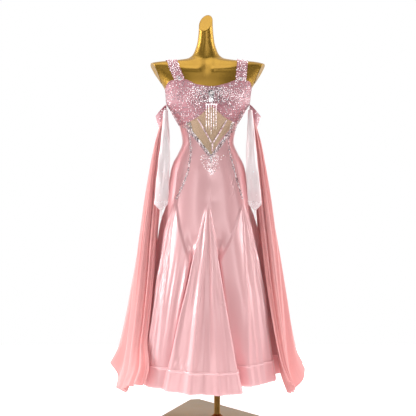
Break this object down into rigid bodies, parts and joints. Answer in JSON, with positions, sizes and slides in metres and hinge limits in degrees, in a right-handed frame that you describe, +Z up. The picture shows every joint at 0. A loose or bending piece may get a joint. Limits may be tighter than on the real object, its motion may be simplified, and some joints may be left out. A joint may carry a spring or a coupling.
{
  "type": "ballroom dance dress on a dress form",
  "caption": "Long flared ballroom dress with stone-set bodice, mesh midriff, godet skirt, loose sleeves and chiffon floats, worn by a limbless dress form on a plate stand.",
  "frame": {"origin": "on the floor under the base plate, below the centre line of the dress", "axes": "+Z up, the front of the dress faces -Y, the wearer's left is +X"},
  "size_m": [0.7446, 0.5794, 1.5415],
  "materials": {
    "satin": "glossy woven satin",
    "stone_cloth": "stretch cloth covered in small stones",
    "nude_mesh": "fine stretch mesh",
    "chiffon": "sheer chiffon",
    "pale_satin": "stretch satin",
    "crystal": "cut stones on a tape",
    "gold_lacquer": "satin gold lacquer",
    "gold_plate": "gold finished steel plate"
  },
  "bodies": {
    "root": {"armband_left": "stone_cloth", "armband_right": "stone_cloth", "back_left": "satin", "back_right": "satin", "base_plate": "gold_plate", "brooch": "crystal", "crystal_fringe": "crystal", "cup_left": "stone_cloth", "cup_right": "stone_cloth", "dress_form": "gold_lacquer", "finger_loop_left": "pale_satin", "finger_loop_right": "pale_satin", "float_left": "chiffon", "float_right": "chiffon", "front_panel": "satin", "godet_back": "satin", "godet_back_left": "satin", "godet_back_right": "satin", "godet_front": "satin", "godet_front_left": "satin", "godet_front_right": "satin", "godet_side_left": "satin", "godet_side_right": "satin", "gore_back_left": "satin", "gore_back_right": "satin", "gore_front_left": "satin", "gore_front_right": "satin", "gore_left_back": "satin", "gore_left_front": "satin", "gore_right_back": "satin", "gore_right_front": "satin", "hem_band": "satin", "mesh_midriff": "nude_mesh", "mesh_strip_centre": "stone_cloth", "mesh_strip_left": "stone_cloth", "mesh_strip_right": "stone_cloth", "pole": "gold_plate", "side_left": "satin", "side_right": "satin", "sleeve_left": "pale_satin", "sleeve_right": "pale_satin", "strap_left": "stone_cloth", "strap_right": "stone_cloth", "trim_seam_left": "crystal", "trim_seam_right": "crystal", "trim_v": "crystal"}
  },
  "joints": []
}
